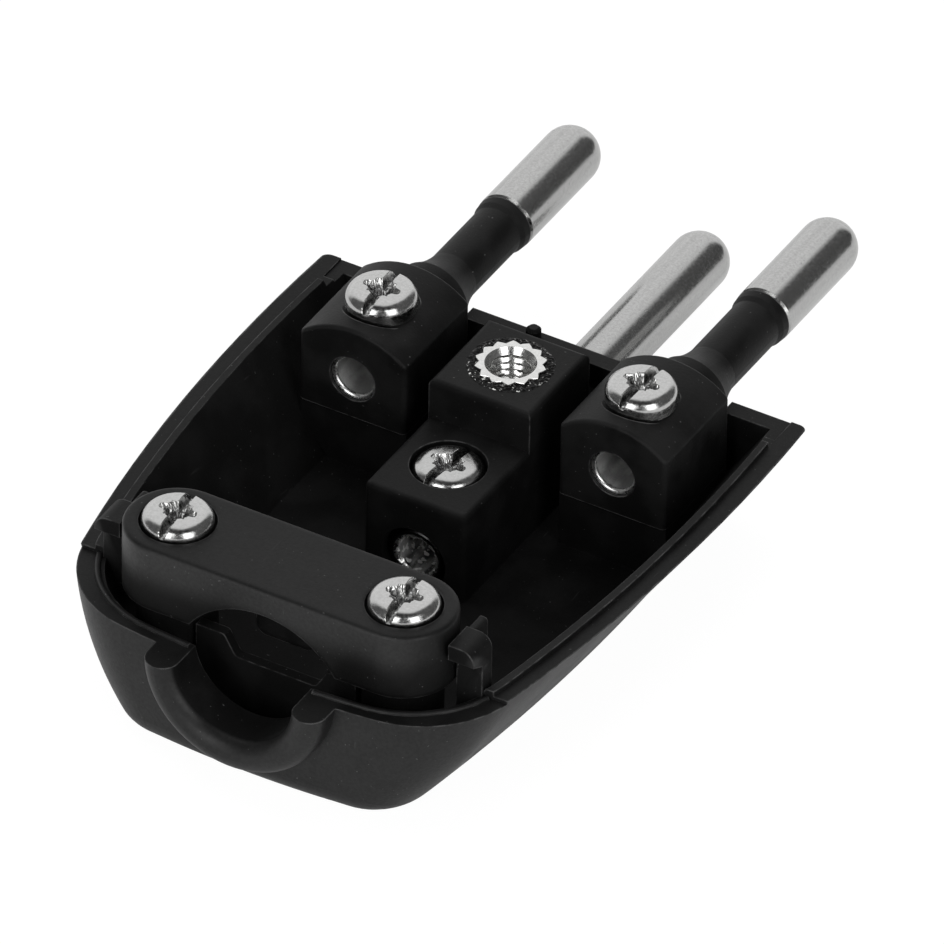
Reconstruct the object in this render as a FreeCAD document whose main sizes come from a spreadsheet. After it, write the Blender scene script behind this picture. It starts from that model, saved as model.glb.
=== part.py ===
import FreeCAD, Part
import math
import os
import re

import Sketcher

# Sizes in millimetres. Lengths run back from the front face; heights are from the axis of the live pins.
SIZES = {
    # Pins and their inner ends
    "pin_radius": 2.0,
    "pin_length": 19.0,
    "earth_pin_length": 19.3,
    "pin_spacing": 19.0,
    "earth_drop": 5.0,
    "core_radius": 1.3,
    "terminal_radius": 2.6,
    "terminal_front": 3.7,
    "terminal_back": 10.35,
    "shoulder_bevel": 0.2,
    "wire_bore_radius": 1.38,
    "wire_bore_depth": 5.75,
    "bore_lip": 0.3,
    "bore_point": 0.7,
    "earth_shank_radius": 2.25,
    "earth_pin_back": 18.7,
    "earth_end_bevel": 0.4,
    "earth_bore_depth": 6.6,
    "pin_gap": 0.05,
    # Moulded sleeves and terminal carriers
    "sleeve_end": 8.6,
    "sleeve_waist_radius": 1.77,
    "sleeve_end_radius": 1.98,
    "sleeve_ring_radius": 1.92,
    "sleeve_ring_width": 0.6,
    "sleeve_taper": 0.4,
    "flare_end": 2.0,
    "flare_radius": 6.0,
    "neck_radius": 2.6,
    "neck_back": 0.5,
    "neck_gap": 0.1,
    "carrier_half": 3.9,
    "carrier_front": 2.5,
    "carrier_back": 10.6,
    "carrier_foot": 3.0,
    "carrier_top": 3.85,
    "carrier_arch_radius": 5.75,
    "carrier_edge": 0.35,
    "carrier_rear_edge": 0.25,
    "wire_entry_radius": 1.65,
    # Screws
    "terminal_screw_back": 7.0,
    "earth_screw_back": 14.75,
    "head_radius": 2.33,
    "head_height": 1.6,
    "head_side": 1.45,
    "head_edge": 0.55,
    "head_gap": 0.17,
    "shank_radius": 1.25,
    "shank_gap": 0.05,
    "shank_point": 0.3,
    "slot_width": 0.9,
    "slot_depth": 0.8,
    "terminal_seat_depth": 0.4,
    "terminal_shank": 1.95,
    "earth_seat_depth": 1.8,
    "earth_shank": 1.45,
    "clamp_seat_depth": 0.75,
    "clamp_shank": 8.0,
    "shank_room": 0.5,
    # Outer shell
    "body_length": 40.15,
    "shell_depth": 8.65,
    "rim_front_half": 17.64,
    "rim_rear_half": 15.6,
    "rim_side_radius": 136,
    "rim_corner_radius": 7.4,
    "rear_radius": 72,
    "base_front_half": 11.4,
    "base_rear_half": 10.1,
    "base_side_radius": 125,
    "base_corner_radius": 4.2,
    "base_reach": -0.15,
    "waist_side_radius": 200,
    "side_bulge": 0.65,
    "rear_bulge": 0.25,
    "foot_radius": 2.0,
    "front_round": 0.5,
    # Rim, tongue and cavity
    "ledge_side": 1.1,
    "ledge_corner": 0.85,
    "ledge_rear": 0.5,
    "tongue_width": 0.55,
    "tongue_height": 0.35,
    "tongue_front": 3.0,
    "tongue_corner_radius": 7.7,
    "rear_step_back": 34.0,
    "rear_step_drop": 0.25,
    "front_wall": 1.2,
    "front_drop": 0.12,
    "pip_across": 2.0,
    "pip_radius": 0.5,
    "pip_height": 0.75,
    "pip_bevel": 0.2,
    "floor_thickness": 1.5,
    "floor_inset": 0.4,
    "floor_corner_radius": 3.0,
    "rear_wall": 1.9,
    "root": 0.2,
    # Cable entry and saddle
    "entry_radius": 4.2,
    "bead_radius": 6.5,
    "bead_reach": 2.0,
    "bead_root": 1.2,
    "rib_back": 35.8,
    "rib_width": 0.75,
    "rib_drop": 2.45,
    "rib_flat_half": 2.9,
    "rib_end_drop": 1.0,
    "rib_rise": 0.85,
    "rib_round": 0.4,
    # Stepped centre block
    "block_half": 3.7,
    "block_front": 3.4,
    "block_step": 10.95,
    "block_back": 19.0,
    "block_top": 2.55,
    "block_edge": 0.4,
    "step_drop": 0.3,
    "web_half": 3.0,
    "web_cover": 0.8,
    # Threaded insert for the cover
    "insert_back": 7.0,
    "insert_radius": 2.33,
    "insert_root_radius": 2.05,
    "insert_bore_radius": 1.3,
    "insert_bevel": 0.4,
    "insert_height": 4.5,
    "insert_proud": 0.2,
    "insert_gap": 0.05,
    "insert_room": 0.3,
    "insert_teeth": 14,
    "insert_tooth_half": 0.49,
    "melt_width": 0.42,
    "melt_depth": 0.25,
    # Cable clamp, its posts and the snap lugs
    "clamp_back": 34.4,
    "boss_radius": 3.5,
    "clamp_top": 5.05,
    "clamp_foot": 0.3,
    "clamp_arch_radius": 6.3,
    "clamp_web": 1.9,
    "clamp_edge": 0.3,
    "tooth_half": 2.2,
    "tooth_tip": 1.05,
    "tooth_width": 0.9,
    "tooth_round": 0.8,
    "post_inset": 0.9,
    "lug_gap": 0.2,
    "lug_inset": 1.85,
    "lug_width": 1.85,
    "lug_front": 33.0,
    "lug_stem": 1.2,
    "lug_nose": 1.1,
    "lug_top": 3.87,
    "lug_neck": 2.2,
    "lug_round": 0.95,
    "nub_length": 1.5,
    "nub_width": 0.65,
    "nub_drop": 0.1,
    "nub_round": 0.25,
    # Extra reach of a cut past the face it opens
    "over": 1.0,
}

doc = FreeCAD.newDocument("type_j_plug")
sheet = doc.addObject("Spreadsheet::Sheet", "sizes")
for row, (name, number) in enumerate(SIZES.items(), 1):
    sheet.set("A%d" % row, name)
    sheet.set("B%d" % row, str(number))
    sheet.setAlias("B%d" % row, name)
doc.recompute()


def words(text):
    return re.sub(r"[a-z_]+", lambda found: "sizes." + found.group(0), text)


def value(text):
    return float(sheet.evalExpression(words(text)))


def bind(item, prop, text):
    item.setExpression(prop, words(text))


def new_body(label, across="0", along="0", up="0"):
    body = doc.addObject("PartDesign::Body", label)
    body.Label = label
    bind(body, "Placement.Base.x", across)
    bind(body, "Placement.Base.y", "body_length / 2 + " + along)
    bind(body, "Placement.Base.z", "shell_depth + " + up)
    return body


def new_sketch(body, name, role, offset="0"):
    sketch = body.newObject("Sketcher::SketchObject", name)
    plane = next(item for item in body.Origin.OriginFeatures if item.Role == role)
    sketch.AttachmentSupport = [(plane, "")]
    sketch.MapMode = "FlatFace"
    bind(sketch, "AttachmentOffset.Base.z", offset)
    return sketch


def drive(sketch, text, *constraint):
    index = sketch.addConstraint(Sketcher.Constraint(*constraint, value(text)))
    bind(sketch, "Constraints[%d]" % index, text)


def pin_point(sketch, geometry, end, across, up):
    for text, kind, axis in ((across, "DistanceX", -2), (up, "DistanceY", -1)):
        if text == "0":
            sketch.addConstraint(Sketcher.Constraint("PointOnObject", geometry, end, axis))
        else:
            drive(sketch, text, kind, -1, 1, geometry, end)


def arc_between(start, end, radius, turn):
    chord = end - start
    left = FreeCAD.Vector(-chord.y, chord.x, 0).normalize()
    rise = math.sqrt(max(radius ** 2 - chord.Length ** 2 / 4, 0))
    centre = (start + end) / 2 + left * rise * turn
    first, last = (start, end) if turn > 0 else (end, start)
    angles = [math.atan2(point.y - centre.y, point.x - centre.x) for point in (first, last)]
    circle = Part.Circle(centre, FreeCAD.Vector(0, 0, 1), radius)
    return Part.ArcOfCircle(circle, angles[0], angles[1] + (2 * math.pi if angles[1] < angles[0] else 0))


# Closed outline. A point may carry the radius of the arc to the next point and its turn (1 left, -1 right).
def outline(sketch, points):
    first = sketch.GeometryCount
    spots = [FreeCAD.Vector(value(point[0]), value(point[1]), 0) for point in points]
    ends = []
    for index, point in enumerate(points):
        after = spots[(index + 1) % len(points)]
        if len(point) == 2:
            sketch.addGeometry(Part.LineSegment(spots[index], after))
            ends.append((1, 2))
        else:
            sketch.addGeometry(arc_between(spots[index], after, value(point[2]), point[3]))
            ends.append((1, 2) if point[3] > 0 else (2, 1))
    for index, point in enumerate(points):
        following = (index + 1) % len(points)
        joint = (first + index, ends[index][1], first + following, ends[following][0])
        sketch.addConstraint(Sketcher.Constraint("Coincident", *joint))
        pin_point(sketch, first + index, ends[index][0], point[0], point[1])
        if len(point) > 2:
            drive(sketch, point[2], "Radius", first + index)


def ring(sketch, across, up, radius):
    spot = FreeCAD.Vector(value(across), value(up), 0)
    index = sketch.addGeometry(Part.Circle(spot, FreeCAD.Vector(0, 0, 1), value(radius)))
    pin_point(sketch, index, 3, across, up)
    drive(sketch, radius, "Radius", index)


def box_outline(sketch, left, right, low, high):
    outline(sketch, [(left, low), (right, low), (right, high), (left, high)])


# Plan of the shell: straight front, bowed sides, round rear corners, bowed rear.
def plan_outline(sketch, front, rear, front_half, rear_half, side_radius, corner_radius):
    front_y, rear_y = -value(front), -value(rear)
    wide, narrow = value(front_half), value(rear_half)
    corner = value(corner_radius)
    turn_y, turn_x = rear_y + corner, narrow - corner
    right = [(turn_x, rear_y), (narrow, turn_y), (wide, front_y)]
    spots = [FreeCAD.Vector(x, y, 0) for x, y in right]
    spots += [FreeCAD.Vector(-spot.x, spot.y, 0) for spot in reversed(spots)]
    radii = [corner_radius, side_radius, None, side_radius, corner_radius, "rear_radius"]
    for index, radius in enumerate(radii):
        start, end = spots[index], spots[(index + 1) % len(spots)]
        if radius:
            sketch.addGeometry(arc_between(start, end, value(radius), 1))
        else:
            sketch.addGeometry(Part.LineSegment(start, end))
    for kind, one, two in (("Tangent", 0, 1), ("Coincident", 1, 2), ("Coincident", 2, 3),
                           ("Coincident", 3, 4), ("Coincident", 4, 5), ("Tangent", 5, 0)):
        sketch.addConstraint(Sketcher.Constraint(kind, one, 2, two, 1))
    for one, two in ((2, 2), (1, 3), (0, 4)):
        sketch.addConstraint(Sketcher.Constraint("Symmetric", one, 1, two, 2, -2))
    sketch.addConstraint(Sketcher.Constraint("Equal", 1, 3))
    sketch.addConstraint(Sketcher.Constraint("Equal", 0, 4))
    pin_point(sketch, 2, 1, front_half, "-(%s)" % front)
    drive(sketch, rear_half, "DistanceX", -1, 1, 1, 1)
    drive(sketch, side_radius, "Radius", 1)
    drive(sketch, corner_radius, "Radius", 0)
    drive(sketch, "rear_radius", "Radius", 5)
    drive(sketch, "rear_radius - (%s)" % rear, "DistanceY", -1, 1, 5, 3)


def extrude(body, kind, sketch, length, back=False):
    feature = body.newObject("PartDesign::" + kind, sketch.Name + "_" + kind.lower())
    feature.Profile = sketch
    feature.Reversed = back
    bind(feature, "Length", length)
    doc.recompute()
    return feature


def turn(body, sketch):
    feature = body.newObject("PartDesign::Revolution", sketch.Name + "_turned")
    feature.Profile = sketch
    feature.ReferenceAxis = (sketch, ["V_Axis"])
    feature.Angle = 360
    doc.recompute()
    return feature


def loft(body, kind, profile, *sections):
    feature = body.newObject("PartDesign::" + kind, profile.Name + "_" + kind.lower())
    feature.Profile = profile
    feature.Sections = list(sections)
    feature.Ruled = len(sections) == 1
    doc.recompute()
    return feature


def soften(body, kind, size, chosen):
    base = body.Tip
    names = ["Edge%d" % number for number, edge in enumerate(base.Shape.Edges, 1) if chosen(edge)]
    feature = body.newObject("PartDesign::" + kind, "%s_%s" % (body.Label, kind.lower()))
    feature.Base = (base, names)
    bind(feature, "Radius" if kind == "Fillet" else "Size", size)
    doc.recompute()
    return feature


def all_at(edge, axis, level, slack=0.001):
    box = edge.BoundBox
    return all(abs(getattr(box, axis.upper() + end) - level) < slack for end in ("Min", "Max"))


# Heights and places that several features share
FLOOR = "floor_thickness - shell_depth - root"
ABOVE_FLOOR = "shell_depth - floor_thickness + root"
LUG_OUTER = "(rim_rear_half - lug_inset)"
LUG_INNER = "(rim_rear_half - lug_inset - lug_width)"
LUG_ROOT = "(lug_inset - root) * shell_depth / (rim_rear_half - base_rear_half)"
CLAMP_HALF = "(rim_rear_half - lug_inset - lug_width - lug_gap - boss_radius)"


# Live pin: round tip, thin core under the sleeve, drilled and tapped terminal
def live_pin(label, across):
    body = new_body(label, across)
    sketch = new_sketch(body, label + "_profile", "XY_Plane")
    outline(sketch, [
        ("0", "pin_length", "pin_radius", -1),
        ("pin_radius", "pin_length - pin_radius"),
        ("pin_radius", "sleeve_end + pin_gap + shoulder_bevel"),
        ("pin_radius - shoulder_bevel", "sleeve_end + pin_gap"),
        ("core_radius", "sleeve_end + pin_gap"),
        ("core_radius", "-terminal_front"),
        ("terminal_radius", "-terminal_front"),
        ("terminal_radius", "-terminal_back"),
        ("wire_bore_radius + bore_lip", "-terminal_back", "bore_lip", -1),
        ("wire_bore_radius", "bore_lip - terminal_back"),
        ("wire_bore_radius", "wire_bore_depth - terminal_back"),
        ("0", "wire_bore_depth + bore_point - terminal_back"),
    ])
    turn(body, sketch)
    tap = new_sketch(body, label + "_tap", "XY_Plane")
    ring(tap, "0", "-terminal_screw_back", "shank_radius + shank_gap")
    extrude(body, "Pocket", tap, "terminal_radius + over", back=True)
    return body


def earth_pin():
    body = new_body("earth_pin", up="-earth_drop")
    sketch = new_sketch(body, "earth_pin_profile", "XY_Plane")
    outline(sketch, [
        ("0", "earth_pin_length", "pin_radius", -1),
        ("pin_radius", "earth_pin_length - pin_radius"),
        ("pin_radius", "0"),
        ("earth_shank_radius", "0"),
        ("earth_shank_radius", "earth_end_bevel - earth_pin_back"),
        ("earth_shank_radius - earth_end_bevel", "-earth_pin_back"),
        ("wire_bore_radius + bore_lip", "-earth_pin_back", "bore_lip", -1),
        ("wire_bore_radius", "bore_lip - earth_pin_back"),
        ("wire_bore_radius", "earth_bore_depth - earth_pin_back"),
        ("0", "earth_bore_depth + bore_point - earth_pin_back"),
    ])
    turn(body, sketch)
    tap = new_sketch(body, "earth_pin_tap", "XY_Plane")
    ring(tap, "0", "-earth_screw_back", "shank_radius + shank_gap")
    extrude(body, "Pocket", tap, "earth_shank_radius + over", back=True)
    return body


# Arched block and pin sleeve in one moulding
def insulator(label, across):
    body = new_body(label, across)
    block = new_sketch(body, label + "_block", "XZ_Plane", "carrier_front")
    half, spring = value("carrier_half"), value("carrier_top - over")
    crown = block.addGeometry(arc_between(
        FreeCAD.Vector(half, spring), FreeCAD.Vector(-half, spring), value("carrier_arch_radius"), 1))
    left, right, foot = "-carrier_half", "carrier_half", "-carrier_foot"
    corners = [block.Geometry[crown].EndPoint]
    corners += [FreeCAD.Vector(value(side), value(foot), 0) for side in (left, right)]
    corners += [block.Geometry[crown].StartPoint]
    for start, end in zip(corners, corners[1:]):
        block.addGeometry(Part.LineSegment(start, end))
    for one in range(4):
        block.addConstraint(Sketcher.Constraint("Coincident", one, 2, (one + 1) % 4, 1))
    pin_point(block, 1, 2, left, foot)
    pin_point(block, 2, 2, right, foot)
    block.addConstraint(Sketcher.Constraint("Vertical", 1))
    block.addConstraint(Sketcher.Constraint("Vertical", 3))
    pin_point(block, crown, 3, "0", "carrier_top - carrier_arch_radius")
    drive(block, "carrier_arch_radius", "Radius", crown)
    extrude(body, "Pad", block, "carrier_back - carrier_front")
    soften(body, "Fillet", "carrier_edge", lambda edge: abs(edge.tangentAt(edge.FirstParameter).z) > 0.99)
    rear, low = -value("carrier_back"), -value("carrier_foot")
    soften(body, "Fillet", "carrier_rear_edge",
           lambda edge: all_at(edge, "y", rear) and not all_at(edge, "z", low))

    sleeve = new_sketch(body, label + "_sleeve", "XY_Plane")
    outline(sleeve, [
        ("0", "sleeve_end"),
        ("0", "-carrier_front - over"),
        ("neck_radius", "-carrier_front - over"),
        ("neck_radius", "-neck_back", "flare_radius", -1),
        ("sleeve_waist_radius", "flare_end"),
        ("sleeve_waist_radius", "sleeve_end - sleeve_ring_width - sleeve_taper"),
        ("sleeve_ring_radius", "sleeve_end - sleeve_ring_width"),
        ("sleeve_end_radius", "sleeve_end"),
    ])
    turn(body, sleeve)

    hollow = new_sketch(body, label + "_hollow", "XY_Plane")
    outline(hollow, [
        ("0", "sleeve_end + over"),
        ("0", "-carrier_back - over"),
        ("wire_entry_radius", "-carrier_back - over"),
        ("wire_entry_radius", "-terminal_back - pin_gap"),
        ("terminal_radius + pin_gap", "-terminal_back - pin_gap"),
        ("terminal_radius + pin_gap", "-terminal_front + pin_gap"),
        ("core_radius + pin_gap", "-terminal_front + pin_gap"),
        ("core_radius + pin_gap", "sleeve_end + over"),
    ])
    groove = body.newObject("PartDesign::Groove", hollow.Name + "_groove")
    groove.Profile = hollow
    groove.ReferenceAxis = (hollow, ["V_Axis"])
    groove.Angle = 360
    doc.recompute()

    seat = new_sketch(body, label + "_seat", "XY_Plane", "carrier_top - terminal_seat_depth")
    ring(seat, "0", "-terminal_screw_back", "head_radius + head_gap")
    extrude(body, "Pocket", seat, "terminal_seat_depth + over", back=True)
    hole = new_sketch(body, label + "_hole", "XY_Plane")
    ring(hole, "0", "-terminal_screw_back", "shank_radius + shank_gap")
    extrude(body, "Pocket", hole, "carrier_top + over", back=True)
    return body


# Slotted pan-head screw, seat of the head at its origin
def screw(label, shank, across, along, up):
    body = new_body(label, across, along, up)
    sketch = new_sketch(body, label + "_profile", "XZ_Plane")
    rise = "(head_height - head_side)"
    dome = "(head_radius * head_radius + {0} * {0}) / (2 * {0})".format(rise)
    outline(sketch, [
        ("0", "-" + shank),
        ("shank_radius - shank_point", "-" + shank),
        ("shank_radius", "shank_point - " + shank),
        ("shank_radius", "0"),
        ("head_radius", "0"),
        ("head_radius", "head_side", dome, 1),
        ("0", "head_height"),
    ])
    turn(body, sketch)
    soften(body, "Fillet", "head_edge", lambda edge: all_at(edge, "z", value("head_side")))
    slot = new_sketch(body, label + "_slot", "XY_Plane", "head_height - slot_depth")
    box_outline(slot, "-slot_width / 2", "slot_width / 2", "-head_radius - over", "head_radius + over")
    extrude(body, "Pocket", slot, "slot_depth + over", back=True)
    return body


def cover_insert():
    body = new_body("cover_insert", along="-insert_back", up="block_top + insert_proud - insert_height")
    core = new_sketch(body, "insert_core", "XY_Plane")
    ring(core, "0", "0", "insert_root_radius")
    extrude(body, "Pad", core, "insert_height")
    tooth = new_sketch(body, "insert_tooth", "XY_Plane")
    sunk = "insert_root_radius - root"
    outline(tooth, [("-insert_tooth_half", sunk), ("insert_tooth_half", sunk), ("0", "insert_radius")])
    spike = extrude(body, "Pad", tooth, "insert_height")
    pattern = body.newObject("PartDesign::PolarPattern", "insert_teeth_ring")
    pattern.Originals = [spike]
    pattern.Axis = (tooth, ["N_Axis"])
    pattern.Angle = 360
    bind(pattern, "Occurrences", "insert_teeth")
    body.Tip = pattern
    doc.recompute()
    bore = new_sketch(body, "insert_bore", "XY_Plane")
    ring(bore, "0", "0", "insert_bore_radius")
    extrude(body, "Pocket", bore, "insert_height + over", back=True)
    top, wide = value("insert_height"), 2 * value("insert_bore_radius")
    soften(body, "Chamfer", "insert_bevel",
           lambda edge: all_at(edge, "z", top) and abs(edge.BoundBox.XLength - wide) < 0.01)
    return body


def cable_clamp():
    body = new_body("cable_clamp", along="-clamp_back")
    plate = new_sketch(body, "clamp_plate", "XY_Plane", "clamp_foot")
    centre = CLAMP_HALF
    tip = centre + " + boss_radius"
    outline(plate, [
        (centre, "-boss_radius", "boss_radius", 1),
        (tip, "0", "boss_radius", 1),
        (centre, "boss_radius"),
        ("-" + centre, "boss_radius", "boss_radius", 1),
        ("-(%s)" % tip, "0", "boss_radius", 1),
        ("-" + centre, "-boss_radius"),
    ])
    extrude(body, "Pad", plate, "clamp_top - clamp_foot")
    arch = new_sketch(body, "clamp_arch", "XZ_Plane", "-boss_radius - over")
    ring(arch, "0", "clamp_top - clamp_web - clamp_arch_radius", "clamp_arch_radius")
    extrude(body, "Pocket", arch, "2 * (boss_radius + over)", back=True)
    soften(body, "Fillet", "clamp_edge", lambda edge: all_at(edge, "z", value("clamp_top")))
    tooth = new_sketch(body, "clamp_tooth", "XZ_Plane", "-tooth_width / 2")
    low, turn_up = "-tooth_tip", "tooth_round - tooth_tip"
    outline(tooth, [
        ("tooth_round - tooth_half", low),
        ("tooth_half - tooth_round", low, "tooth_round", 1),
        ("tooth_half", turn_up),
        ("tooth_half", "clamp_top - clamp_web / 2"),
        ("-tooth_half", "clamp_top - clamp_web / 2"),
        ("-tooth_half", turn_up, "tooth_round", 1),
    ])
    extrude(body, "Pad", tooth, "tooth_width")
    seats = new_sketch(body, "clamp_seats", "XY_Plane", "clamp_top - clamp_seat_depth")
    holes = new_sketch(body, "clamp_holes", "XY_Plane", "clamp_foot - over")
    for side in ("-", ""):
        ring(seats, side + centre, "0", "head_radius + head_gap")
        ring(holes, side + centre, "0", "shank_radius + shank_gap")
    extrude(body, "Pocket", seats, "clamp_seat_depth + over", back=True)
    extrude(body, "Pocket", holes, "clamp_top + 2 * over", back=True)
    return body


# Half-hexagon shell with its rim step, tongue and hollow
def shell_walls(body):
    rim = new_sketch(body, "rim_plan", "XY_Plane")
    plan_outline(rim, "-over", "body_length", "rim_front_half", "rim_rear_half",
                 "rim_side_radius", "rim_corner_radius")
    base = new_sketch(body, "base_plan", "XY_Plane", "-shell_depth")
    plan_outline(base, "-over", "body_length + base_reach", "base_front_half", "base_rear_half",
                 "base_side_radius", "base_corner_radius")
    waist = new_sketch(body, "waist_plan", "XY_Plane", "-shell_depth / 2")
    plan_outline(waist, "-over", "body_length + rear_bulge", "(rim_front_half + base_front_half) / 2",
                 "(rim_rear_half + base_rear_half) / 2 + side_bulge", "waist_side_radius",
                 "(rim_corner_radius + base_corner_radius) / 2")
    loft(body, "AdditiveLoft", rim, waist, base)
    face = new_sketch(body, "front_face", "XY_Plane", "-shell_depth - over")
    box_outline(face, "-rim_front_half - over", "rim_front_half + over", "0", "2 * over")
    extrude(body, "Pocket", face, "shell_depth + 2 * over", back=True)
    soften(body, "Fillet", "foot_radius",
           lambda edge: all_at(edge, "z", -value("shell_depth")) and not all_at(edge, "y", 0))
    soften(body, "Fillet", "front_round", lambda edge: all_at(edge, "y", 0) and not all_at(edge, "z", 0))

    tongue = new_sketch(body, "tongue_plan", "XY_Plane", "-root")
    plan_outline(tongue, "tongue_front", "body_length - ledge_rear", "rim_front_half - ledge_side",
                 "rim_rear_half - ledge_corner", "rim_side_radius - ledge_side", "tongue_corner_radius")
    extrude(body, "Pad", tongue, "root + tongue_height")
    step = new_sketch(body, "rear_step", "XY_Plane", "-rear_step_drop")
    box_outline(step, "-rim_front_half", "rim_front_half", "-body_length - over", "-rear_step_back")
    extrude(body, "Pocket", step, "rear_step_drop + tongue_height + over", back=True)


def cable_entry(body):
    bead = new_sketch(body, "entry_bead", "XY_Plane")
    half = "(bead_radius - entry_radius) / 2"
    middle = "(bead_radius + entry_radius) / 2"
    shoulder = "-(body_length + bead_reach - %s)" % half
    outline(bead, [
        ("entry_radius", "bead_root - body_length"),
        ("entry_radius", shoulder, half, 1),
        (middle, "-body_length - bead_reach", half, 1),
        ("bead_radius", shoulder),
        ("bead_radius", "bead_root - body_length"),
    ])
    turn(body, bead)
    trim = new_sketch(body, "entry_trim", "XY_Plane", "-rear_step_drop")
    box_outline(trim, "-bead_radius - over", "bead_radius + over",
                "-body_length - bead_reach - over", "bead_root + over - body_length")
    extrude(body, "Pocket", trim, "bead_radius + over", back=True)


def shell_cavity(body):
    top = new_sketch(body, "cavity_top", "XY_Plane", "tongue_height")
    plan_outline(top, "front_wall", "body_length - ledge_rear - tongue_width",
                 "rim_front_half - ledge_side - tongue_width", "rim_rear_half - ledge_corner - tongue_width",
                 "rim_side_radius - ledge_side - tongue_width", "tongue_corner_radius - tongue_width")
    floor = new_sketch(body, "cavity_floor", "XY_Plane", "floor_thickness - shell_depth")
    plan_outline(floor, "front_wall", "body_length - rear_wall", "base_front_half - floor_inset",
                 "base_rear_half - floor_inset", "base_side_radius", "floor_corner_radius")
    loft(body, "SubtractiveLoft", top, floor)
    trough = new_sketch(body, "entry_trough", "XZ_Plane", "body_length - rear_wall - 2 * over")
    outline(trough, [
        ("-entry_radius", "0", "entry_radius", 1),
        ("0", "-entry_radius", "entry_radius", 1),
        ("entry_radius", "0"),
        ("entry_radius", "tongue_height + over"),
        ("-entry_radius", "tongue_height + over"),
    ])
    extrude(body, "Pocket", trough, "rear_wall + bead_reach + 3 * over", back=True)


def front_edge(body):
    drop = new_sketch(body, "front_drop", "XY_Plane")
    box_outline(drop, "ledge_side - rim_front_half", "rim_front_half - ledge_side", "-front_wall - over", "over")
    extrude(body, "Pocket", drop, "front_drop")
    notch = new_sketch(body, "neck_notches", "XZ_Plane", "-over")
    reach = "neck_radius + neck_gap"
    for side in ("-", ""):
        middle = side + "pin_spacing / 2"
        outline(notch, [
            (middle + " - " + reach.replace("+", "-"), "0", reach, 1),
            (middle, "-neck_radius - neck_gap", reach, 1),
            (middle + " + " + reach, "0"),
            (middle + " + " + reach, "tongue_height + over"),
            (middle + " - " + reach.replace("+", "-"), "tongue_height + over"),
        ])
    extrude(body, "Pocket", notch, "front_wall + 1.5 * over", back=True)
    pip = new_sketch(body, "front_pip", "XY_Plane", "-front_drop - root")
    ring(pip, "-pip_across", "-front_wall / 2", "pip_radius")
    extrude(body, "Pad", pip, "root + pip_height")
    tip = value("pip_height - front_drop")
    soften(body, "Chamfer", "pip_bevel", lambda edge: all_at(edge, "z", tip))


def centre_block(body):
    block = new_sketch(body, "centre_block", "YZ_Plane", "-block_half")
    outline(block, [
        ("-block_back", FLOOR),
        ("-block_front", FLOOR),
        ("-block_front", "block_top"),
        ("-block_step", "block_top"),
        ("-block_step", "-step_drop"),
        ("-block_back", "-step_drop"),
    ])
    extrude(body, "Pad", block, "2 * block_half")
    half, top, step = (value(text) for text in ("block_half", "block_top", "-step_drop"))
    inner, back = -value("block_step"), -value("block_back")

    def outer_edge(edge):
        box = edge.BoundBox
        within = abs(box.Center.x) < half + 0.01
        return (all_at(edge, "z", top)
                or within and all_at(edge, "z", step) and box.Center.y < inner - 0.01
                or within and all_at(edge, "y", back) and box.ZLength > 1)

    soften(body, "Fillet", "block_edge", outer_edge)
    web = new_sketch(body, "block_web", "XY_Plane", FLOOR)
    box_outline(web, "-web_half", "web_half", "-block_front - root", "root - front_wall")
    extrude(body, "Pad", web, ABOVE_FLOOR + " - earth_drop + earth_shank_radius + web_cover")

    melt = new_sketch(body, "insert_melt", "XY_Plane", "block_top")
    ring(melt, "0", "-insert_back", "insert_radius + melt_width")
    extrude(body, "Pocket", melt, "melt_depth")
    socket = new_sketch(body, "insert_socket", "XY_Plane", "block_top")
    ring(socket, "0", "-insert_back", "insert_radius + insert_gap")
    extrude(body, "Pocket", socket, "insert_height - insert_proud + insert_room")
    seat = new_sketch(body, "earth_seat", "XY_Plane", "-step_drop")
    ring(seat, "0", "-earth_screw_back", "head_radius + head_gap")
    extrude(body, "Pocket", seat, "earth_seat_depth")
    hole = new_sketch(body, "earth_hole", "XY_Plane", "-step_drop")
    ring(hole, "0", "-earth_screw_back", "shank_radius + shank_gap")
    extrude(body, "Pocket", hole, "earth_drop - step_drop")
    bore = new_sketch(body, "earth_bore", "XZ_Plane", "-over")
    ring(bore, "0", "-earth_drop", "earth_shank_radius + pin_gap")
    extrude(body, "Pocket", bore, "block_back + 2 * over", back=True)


# Plinths under the carriers, their outer sides sloping with the wall
def plinths(body):
    section = new_sketch(body, "plinths", "XZ_Plane", "carrier_front + root")
    for side in ("-", ""):
        near = side + "(pin_spacing / 2 - carrier_half)"
        far = side + "(pin_spacing / 2 + carrier_half)"
        outline(section, [
            (near, FLOOR),
            (side + "(base_front_half - root)", FLOOR),
            (far, "-carrier_foot - carrier_foot / 2"),
            (far, "-carrier_foot"),
            (near, "-carrier_foot"),
        ])
    extrude(body, "Pad", section, "carrier_back - carrier_front - 2 * root")


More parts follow.
